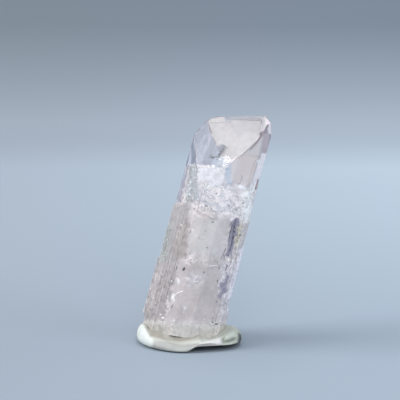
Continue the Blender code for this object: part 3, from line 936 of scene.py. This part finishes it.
def make_marks():
    """The cracks and grains that stand out one by one, with painted shade in the dark cracks and painted
    highlights at the glints.
    """
    cracks = [plate(outline, MARK_DEPTH, MARK_THICKNESS) for outline in DARK_CRACKS]
    grains = [plate(speck_outline(*speck, i), MARK_DEPTH, MARK_THICKNESS) for i, speck in enumerate(SPECKS)]
    glints = [plate(outline, MARK_DEPTH + GLINT_CHANGE, MARK_THICKNESS) for outline in WHITE_CRACKS_AND_GLINTS]
    for name, shapes, material in (
        ("painted_shade_cracks", cracks, crack_painted_shade()),
        ("mineral_grains", grains, mineral_grain()),
        ("brown_wedge", [plate(WEDGE, MARK_DEPTH, MARK_THICKNESS)], brown_film()),
        ("white_cracks_and_painted_glints", glints, air_flake_and_glint()),
    ):
        piece = joined(name, shapes, material)
        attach(piece, "root")


# How many flakes and grains lie on a square metre where they are not crowded, and their least and greatest
# length in millimetres.
FLAKES_PER_AREA = 7 / MM ** 2
GRAINS_PER_AREA = 0.06 / MM ** 2
FLAKE_LENGTHS = (0.08, 0.36)
GRAIN_LENGTHS = (0.07, 0.16)
# A flake's corners, its least and greatest width as a share of its length, and its tilt in radians.
FLAKE_CORNERS = 5
FLAKE_WIDTHS = (0.6, 0.7)
FLAKE_TILT = 0.33
# How the crackle and the top of the belt crowd the flakes, and the most that they may be crowded.
CRACKLE_CROWD = 0.9
BELT_TOP_CROWD = 1.2
BELT_TOP_SOFT = 0.12
MOST_CROWDED = 2


def scatter(name, base, attribute, per_area, lengths, material, seed):
    """Strews thin five-cornered flakes over a skin, as many as the attribute says, as one plain mesh."""
    tree = bpy.data.node_groups.new(name, "GeometryNodeTree")
    tree.interface.new_socket("Geometry", in_out="INPUT", socket_type="NodeSocketGeometry")
    tree.interface.new_socket("Geometry", in_out="OUTPUT", socket_type="NodeSocketGeometry")
    start = add_node(tree, "NodeGroupInput")
    amount = add_node(tree, "GeometryNodeInputNamedAttribute", {"data_type": "FLOAT", "Name": attribute})
    number = add_node(tree, "ShaderNodeMath", {"operation": "MULTIPLY", 1: per_area}, {
        0: amount.outputs["Attribute"],
    })
    points = add_node(tree, "GeometryNodeDistributePointsOnFaces", {"Seed": seed}, {
        "Mesh": start.outputs["Geometry"], "Density": number.outputs["Value"],
    })
    flake = add_node(tree, "GeometryNodeMeshCone", {
        "Vertices": FLAKE_CORNERS, "Radius Top": 0.8, "Radius Bottom": 1.0, "Depth": 0.25,
    })
    least, most = lengths[0] * MM, lengths[1] * MM
    size = add_node(tree, "FunctionNodeRandomValue", {
        "data_type": "FLOAT_VECTOR",
        "Seed": seed + 1,
        "Min": (least, least * FLAKE_WIDTHS[0], least),
        "Max": (most, most * FLAKE_WIDTHS[1], least),
    })
    turn = add_node(tree, "FunctionNodeRandomValue", {
        "data_type": "FLOAT_VECTOR",
        "Seed": seed + 2,
        "Min": (-FLAKE_TILT, -FLAKE_TILT, 0.0),
        "Max": (FLAKE_TILT, FLAKE_TILT, math.tau),
    })
    copies = add_node(tree, "GeometryNodeInstanceOnPoints", links={
        "Points": points.outputs["Points"],
        "Instance": flake.outputs["Mesh"],
        "Rotation": points.outputs["Rotation"],
        "Scale": size.outputs["Value"],
    })
    turned = add_node(tree, "GeometryNodeRotateInstances", links={
        "Instances": copies.outputs["Instances"], "Rotation": turn.outputs["Value"],
    })
    real = add_node(tree, "GeometryNodeRealizeInstances", links={"Geometry": turned.outputs["Instances"]})
    dressed = add_node(tree, "GeometryNodeSetMaterial", {"Material": material}, {
        "Geometry": real.outputs["Geometry"],
    })
    add_node(tree, "NodeGroupOutput", links={"Geometry": dressed.outputs["Geometry"]})
    base.modifiers.new(name, "NODES").node_group = tree
    depsgraph = bpy.context.evaluated_depsgraph_get()
    mesh = bpy.data.meshes.new_from_object(base.evaluated_get(depsgraph))
    base.modifiers.clear()
    piece = link_object(name, mesh, material)
    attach(piece, "root")


# The sparkling edge at the top of the crackled belt, and other places crowded with flakes.
BELT_TOP_LINE = ((0.0, 31.0), (1.9, 30.7), (6.4, 30.5), (6.5, 30.1), (1.9, 30.2), (0.0, 30.6))
CLUSTERS = (
    # the outline on the front, then its soft edge and how crowded it is
    # in the middle of the body
    (((0.9, 19.4), (3.3, 19.2), (2.9, 16.8), (0.4, 17.0)),
     0.8, 0.35),
    # along the border at the right
    (((6.9, 16.1), (7.6, 16.1), (6.7, 13.0), (6.4, 9.9), (5.5, 9.9), (5.7, 13.4)),
     0.25, 0.8),
    # beside the dark cleavage line
    (((8.3, 20.6), (10.5, 20.9), (9.6, 16.5), (7.6, 15.8)),
     0.4, 0.4),
    # the crumpled patch low in the middle
    (((-0.3, 11.8), (2.6, 11.6), (2.4, 10.3), (0.2, 10.1)),
     0.5, 0.3),
    # around the curved crack
    (((-3.9, 8.9), (-2.2, 9.2), (-2.9, 6.8), (-3.9, 6.8)),
     0.3, 0.5),
    # at the foot, right of the middle
    (((1.9, 4.4), (5.5, 4.2), (5.2, 2.4), (1.6, 2.7)),
     0.4, 0.6),
    # at the foot, left of the middle
    (((-5.3, 4.4), (-0.5, 3.4), (-0.5, 2.0), (-5.0, 2.7)),
     0.4, 0.4),
    # where the tip's three faces meet
    (((5.3, 31.9), (6.5, 32.3), (7.2, 31.3), (6.4, 30.6), (5.2, 30.7)),
     0.2, 1.0),
    # on top of the crackled belt's right half
    (((6.2, 27.1), (8.1, 27.5), (11.2, 26.4), (11.2, 25.1), (6.4, 25.4)),
     0.3, 0.6),
)


def make_flakes(skin):
    """Air flakes crowd the crackled belt and thin out below it; a few dark grains lie strewn on the body."""
    crowd = np.zeros(len(skin.data.vertices), np.float32)
    skin.data.attributes["etched"].data.foreach_get("value", crowd)
    world = point_array(skin.data)
    normals = point_array(skin.data, "normal")
    front = to_front(world)
    facing = facing_front(normals)
    belt_top = area(front, BELT_TOP_LINE, BELT_TOP_SOFT) * facing
    crowded = CRACKLE_CROWD * crowd ** 2 + BELT_TOP_CROWD * belt_top
    for outline, soft, amount in CLUSTERS:
        crowded += amount * area(front, outline, soft) * facing
    put_attribute(skin.data, "crowd", np.clip(crowded, 0, MOST_CROWDED))
    own = to_crystal(world)
    body = ramp(*LINED_BODY, own[:, 2]) * facing
    put_attribute(skin.data, "strewn", body * (0.3 + ramp(0.1, 0.8, grain(own, 3.0, 31))))
    scatter("air_flakes", skin, "crowd", FLAKES_PER_AREA, FLAKE_LENGTHS, thin_flake(), 3)
    scatter("strewn_grains", skin, "strewn", GRAINS_PER_AREA, GRAIN_LENGTHS, mineral_grain(), 8)


# The putty

def mineral_putty():
    """Kneaded mineral putty: a soft, pale grey-green clay."""
    material, tree, output = new_material("mineral_putty")
    place = add_node(tree, "ShaderNodeTexCoord")
    kneaded = add_node(tree, "ShaderNodeTexNoise", {
        "Scale": 1 / (1.6 * MM),
        "Detail": 4.0,
        "Roughness": 0.6,
    }, {"Vector": place.outputs["Object"]})
    shade = add_node(tree, "ShaderNodeMapRange", {
        "From Min": 0.3, "From Max": 0.7, "To Min": 0.86, "To Max": 1.04,
    }, {"Value": kneaded.outputs["Fac"]})
    tint = add_node(tree, "ShaderNodeAttribute", {"attribute_name": "tint"})
    colour = add_node(tree, "ShaderNodeVectorMath", {"operation": "SCALE"}, {
        0: tint.outputs["Color"], "Scale": shade.outputs["Result"],
    })
    bump = add_node(tree, "ShaderNodeBump", {"Strength": 0.4, "Distance": 0.15 * MM}, {
        "Height": kneaded.outputs["Fac"],
    })
    shader = add_node(tree, "ShaderNodeBsdfPrincipled", {"Roughness": 0.55}, {
        "Base Color": colour.outputs["Vector"],
        "Normal": bump.outputs["Normal"],
    })
    tree.links.new(shader.outputs["BSDF"], output.inputs["Surface"])
    return material


# In millimetres: putty nearer to the crystal than the gap is drawn on to it and a little into it.
PUTTY_GAP = 0.45
PUTTY_PRESS = 0.04
# The grain of its mesh in millimetres, and the rounds that smooth it.
PUTTY_VOXEL = 0.16
SMOOTH_ROUNDS = 4

PUTTY_AREAS = (
    # the outline on the front, then its soft edge and the colour
    # the lump at the left, lighter with painted light
    (((-9.3, 3.4), (-6.7, 3.4), (-7.0, 2.0), (-6.0, -0.4), (-9.3, -0.4)),
     0.5, "#cfd5d3"),
    # the rim in front
    (((-6.0, 0.8), (-1.5, 0.1), (1.9, 0.8), (6.0, 1.2), (5.9, -1.1), (-6.4, -1.1)),
     0.4, "#9e9f9d"),
    # the lighter rim at the right
    (((1.2, 0.7), (6.0, 1.3), (6.0, -0.1), (1.9, -0.2)),
     0.3, "#c4c6c5"),
    # painted shade in the hollow between rim and crystal
    (((-7.7, 3.0), (-4.1, 2.5), (-0.5, 2.2), (1.9, 1.3), (2.6, 0.8), (0.5, 0.5), (-1.5, 0.2),
      (-3.9, 0.5), (-6.7, 1.2)),
     0.3, "#8d8980"),
    # the grey-green lump at the right
    (((5.5, 2.9), (9.3, 2.7), (9.3, -1.3), (6.0, -1.3)),
     0.4, "#b0b8af"),
    # painted shade on its right end
    (((8.5, 1.8), (9.3, 1.8), (9.3, -1.1), (7.6, -1.1), (8.4, -0.2)),
     0.35, "#474c4f"),
)
# The fold in the lump at the right, as seen from the front, then how deep and wide it is and how much
# painted shade darkens it.
FOLD = ((5.8, 1.3), (6.1, 0.4), (6.9, 0.4), (7.9, 0.8))
FOLD_DEPTH = 0.4
FOLD_WIDTH = 0.35
FOLD_PAINTED_SHADE = 0.5
# How far the putty climbs the crystal's front, and where the climb starts and is full: by the gap to the
# crystal, from the middle to the front, from the left, from the right and from below.
CLIMB = 0.9
CLIMB_GAP = (1.5, 0.3)
CLIMB_FRONT = (-3.0, -4.2)
CLIMB_LEFT = (-8.0, -6.5)
CLIMB_RIGHT = (3.6, 1.6)
CLIMB_BELOW = (0.6, 1.1)
# How far the front edge is lifted off the table in the middle and at the right, where the lift starts and
# where it passes from one to the other, and the front part of the underside that it takes along.
LIFT_MIDDLE = 1.1
LIFT_RIGHT = 0.45
LIFT_START = (-0.5, 2.2)
LIFT_CHANGE = (4.5, 7.0)
LIFT_FRONT = (-1.5, -4.5)
LIFT_BELOW = (1.1, 0.3)
# The lifted underside is darkened with painted shade.
UNDERSIDE_PAINTED_SHADE = 0.85


def knead(mesh):
    """Pushes the putty up the crystal's front, lifts its edge at the right, folds its end and colours it,
    with painted light and shade.
    """
    world = point_array(mesh)
    normals = point_array(mesh, "normal")
    x, y, z = world.T / MM
    gap = np.array([CRYSTAL_TREE.find_nearest(p)[3] for p in world]) / MM
    climb = ramp(*CLIMB_GAP, gap) * ramp(*CLIMB_FRONT, y) * ramp(*CLIMB_LEFT, x)
    climb *= ramp(*CLIMB_RIGHT, x) * ramp(*CLIMB_BELOW, z)
    lifted = LIFT_MIDDLE * ramp(*LIFT_START, x) * ramp(*LIFT_CHANGE[::-1], x)
    lifted += LIFT_RIGHT * ramp(*LIFT_CHANGE, x)
    underside = ramp(*LIFT_FRONT, y) * ramp(*LIFT_BELOW, z)
    world[:, 2] = (z + CLIMB * climb + lifted * underside) * MM
    front = to_front(world)
    facing = facing_front(normals)
    # The fold sinks the putty and carries painted shade.
    fold = np.exp(-(line_gap(front, FOLD) / FOLD_WIDTH) ** 2) * facing
    world -= normals * (fold * FOLD_DEPTH * MM)[:, None]
    mesh.vertices.foreach_set("co", world.ravel())
    tint = np.tile(linear("#c3c7be"), (len(world), 1))
    for outline, soft, colour in PUTTY_AREAS:
        share = (area(front, outline, soft) * facing)[:, None]
        tint = tint * (1 - share) + np.array(linear(colour)) * share
    # Painted shade where the lifted underside faces down.
    underside_shade = underside * ramp(*LIFT_START, x) * ramp(-0.2, -0.7, normals[:, 2])
    tint[:, :3] *= ((1 - FOLD_PAINTED_SHADE * fold) * (1 - UNDERSIDE_PAINTED_SHADE * underside_shade))[:, None]
    put_attribute(mesh, "tint", tint)


def press_to_crystal(mesh):
    """Closes the CAD's clearance: putty beside the crystal is drawn on to it."""
    for vert in mesh.vertices:
        near, normal, _, distance = CRYSTAL_TREE.find_nearest(vert.co)
        if distance < PUTTY_GAP * MM:
            vert.co = near - normal * PUTTY_PRESS * MM


def make_putty():
    """The CAD pad with its steps smoothed away, kneaded and pressed to the crystal."""
    shape = merged_copy("putty_pad")
    mesh = bpy.data.meshes.new("pressed_putty")
    shape.to_mesh(mesh)
    shape.free()
    putty = link_object("pressed_putty", mesh, mineral_putty())
    even = putty.modifiers.new("even", "REMESH")
    even.mode = "VOXEL"
    even.voxel_size = PUTTY_VOXEL * MM
    even.use_smooth_shade = True
    soft = putty.modifiers.new("soft", "SMOOTH")
    soft.iterations = SMOOTH_ROUNDS
    depsgraph = bpy.context.evaluated_depsgraph_get()
    finished = bpy.data.meshes.new_from_object(putty.evaluated_get(depsgraph))
    putty.modifiers.clear()
    putty.data = finished
    knead(finished)
    press_to_crystal(finished)
    for face in finished.polygons:
        face.use_smooth = True
    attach(putty, "root")
    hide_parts("putty_pad")


# The stage, the lights and the camera

# The paper's colour with painted light and shade, by the distance behind the specimen in metres: near, in
# the open, where it starts to rise, up the wall and out of sight. Painted light makes it paler in the open,
# most of all at the right.
PAPER_LEFT = ((0.0, "#808994"), (0.20, "#97a2ae"), (0.29, "#939ca7"), (0.38, "#707983"), (0.80, "#5d6772"))
PAPER_RIGHT = ((0.0, "#8e9caa"), (0.20, "#b0c0cc"), (0.29, "#9ea9b5"), (0.38, "#707c88"), (0.80, "#5d6772"))
# How far from the middle the left colour is all left and the right all right, in metres.
PAPER_TURN = 0.09
# The sweep in metres: half its width, its front edge, where it starts to rise, how round the rise is and how
# high it goes.
SWEEP_SIDE = 1.2
SWEEP_FRONT = -0.7
SWEEP_TURN = 0.25
SWEEP_RADIUS = 0.25
SWEEP_TOP = 1.0


def distance_ramp(tree, along, stops, length):
    """A colour ramp whose stops are distances along the sweep."""
    ramp_node = add_node(tree, "ShaderNodeValToRGB", links={"Fac": along})
    steps = ramp_node.color_ramp.elements
    while len(steps) < len(stops):
        steps.new(0.5)
    for step, (at, colour) in zip(steps, stops):
        step.position = (at - SWEEP_FRONT) / length
        step.color = linear(colour)
    return ramp_node.outputs["Color"]


def paper_backdrop(length):
    """Matt background paper, pale blue-grey, with painted light: paler where it lies open to the lamps."""
    material, tree, output = new_material("background_paper")
    place = add_node(tree, "ShaderNodeTexCoord")
    along = add_node(tree, "ShaderNodeSeparateXYZ", links={0: place.outputs["UV"]})
    across = add_node(tree, "ShaderNodeSeparateXYZ", links={0: place.outputs["Object"]})
    side = add_node(tree, "ShaderNodeMapRange", {
        "interpolation_type": "SMOOTHSTEP", "From Min": -PAPER_TURN, "From Max": PAPER_TURN,
    }, {"Value": across.outputs["X"]})
    colour = add_node(tree, "ShaderNodeMix", {"data_type": "RGBA"})
    tree.links.new(side.outputs["Result"], colour.inputs["Factor"])
    tree.links.new(distance_ramp(tree, along.outputs["Y"], PAPER_LEFT, length), colour.inputs["A"])
    tree.links.new(distance_ramp(tree, along.outputs["Y"], PAPER_RIGHT, length), colour.inputs["B"])
    shader = add_node(tree, "ShaderNodeBsdfPrincipled", {"Roughness": 0.9}, {
        "Base Color": colour.outputs["Result"],
    })
    tree.links.new(shader.outputs["BSDF"], output.inputs["Surface"])
    return material


def sweep_outline():
    """The side view of the sweep, as points (y, z): the floor, a quarter turn and the wall."""
    floor = [(y, 0.0) for y in np.linspace(SWEEP_FRONT, SWEEP_TURN, 12)]
    turn = [(SWEEP_TURN + SWEEP_RADIUS * math.sin(a), SWEEP_RADIUS * (1 - math.cos(a)))
            for a in np.linspace(0, math.pi / 2, 25)[1:]]
    wall = [(SWEEP_TURN + SWEEP_RADIUS, z) for z in np.linspace(SWEEP_RADIUS, SWEEP_TOP, 10)[1:]]
    return floor + turn + wall


def make_sweep():
    """The paper under and behind the specimen; its UV runs along it from 0 in front to 1 at the top."""
    outline = sweep_outline()
    verts = []
    lengths = [0.0]
    for i, (y, z) in enumerate(outline):
        verts += [(-SWEEP_SIDE, y, z), (SWEEP_SIDE, y, z)]
        if i:
            lengths.append(lengths[-1] + math.dist(outline[i - 1], (y, z)))
    faces = [(2 * i, 2 * i + 1, 2 * i + 3, 2 * i + 2) for i in range(len(outline) - 1)]
    mesh = bpy.data.meshes.new("sweep")
    mesh.from_pydata(verts, [], faces)
    layer = mesh.uv_layers.new(name="along")
    for loop in mesh.loops:
        step, side = divmod(loop.vertex_index, 2)
        layer.data[loop.index].uv = (side, lengths[step] / lengths[-1])
    for face in mesh.polygons:
        face.use_smooth = True
    sweep = link_object("sweep", mesh, paper_backdrop(lengths[-1]))


SOFTBOXES = (
    # name, place, aimed at, side length, power, colour
    ("key", (-0.42, -0.05, 0.28), (0, 0, 0.02), 0.26, 2.0, "#fffdfb"),
    ("top", (0.02, 0.06, 0.55), (0, 0, 0.02), 0.40, 1.7, "#f6f9ff"),
    ("front_fill", (0.06, -0.50, 0.34), (0, 0, 0.02), 0.40, 1.25, "#ffffff"),
    ("right_fill", (0.45, -0.25, 0.30), (0, 0, 0.02), 0.30, 0.75, "#ffffff"),
)
SKY = "#eef1f6"
SKY_STRENGTH = 0.70
# How often a ray of light may turn, and how many thin sheets and flakes it may pass.
MOST_BOUNCES = 24
MOST_SHEETS = 16


def make_lights():
    """Four soft lamps and a pale sky."""
    for name, place, aim, side, power, colour in SOFTBOXES:
        lamp = bpy.data.lights.new(name, "AREA")
        lamp.size = side
        lamp.energy = power
        lamp.color = linear(colour)[:3]
        obj = bpy.data.objects.new(name, lamp)
        obj.location = place
        obj.rotation_euler = (Vector(aim) - Vector(place)).to_track_quat("-Z", "Y").to_euler()
        bpy.context.scene.collection.objects.link(obj)
    world = bpy.data.worlds.new("studio")
    world.use_nodes = True
    world.node_tree.nodes.clear()
    sky = add_node(world.node_tree, "ShaderNodeBackground", {"Color": linear(SKY), "Strength": SKY_STRENGTH})
    add_node(world.node_tree, "ShaderNodeOutputWorld", links={"Surface": sky.outputs["Background"]})
    bpy.context.scene.world = world


def make_camera():
    """A camera at 0.26 m whose frame spans 400 pixels of 0.172 mm at the specimen."""
    camera = bpy.data.cameras.new("camera")
    camera.sensor_width = SENSOR
    camera.lens = SENSOR * CAMERA_DISTANCE / (PICTURE * PIXEL)
    camera.clip_start = 1 * MM
    obj = bpy.data.objects.new("camera", camera)
    obj.location = CAMERA_PLACE
    obj.rotation_euler = AHEAD.to_track_quat("-Z", "Y").to_euler()
    bpy.context.scene.collection.objects.link(obj)
    bpy.context.scene.camera = obj


def set_light_paths():
    """Light crosses the crystal many times before it leaves it."""
    scene = bpy.context.scene
    scene.cycles.max_bounces = MOST_BOUNCES
    scene.cycles.transmission_bounces = MOST_BOUNCES
    scene.cycles.transparent_max_bounces = MOST_SHEETS
    scene.view_settings.view_transform = "Standard"


crystal_skin = make_crystal()
make_veils()
make_marks()
make_flakes(crystal_skin)
make_putty()
make_sweep()
make_lights()
make_camera()
set_light_paths()
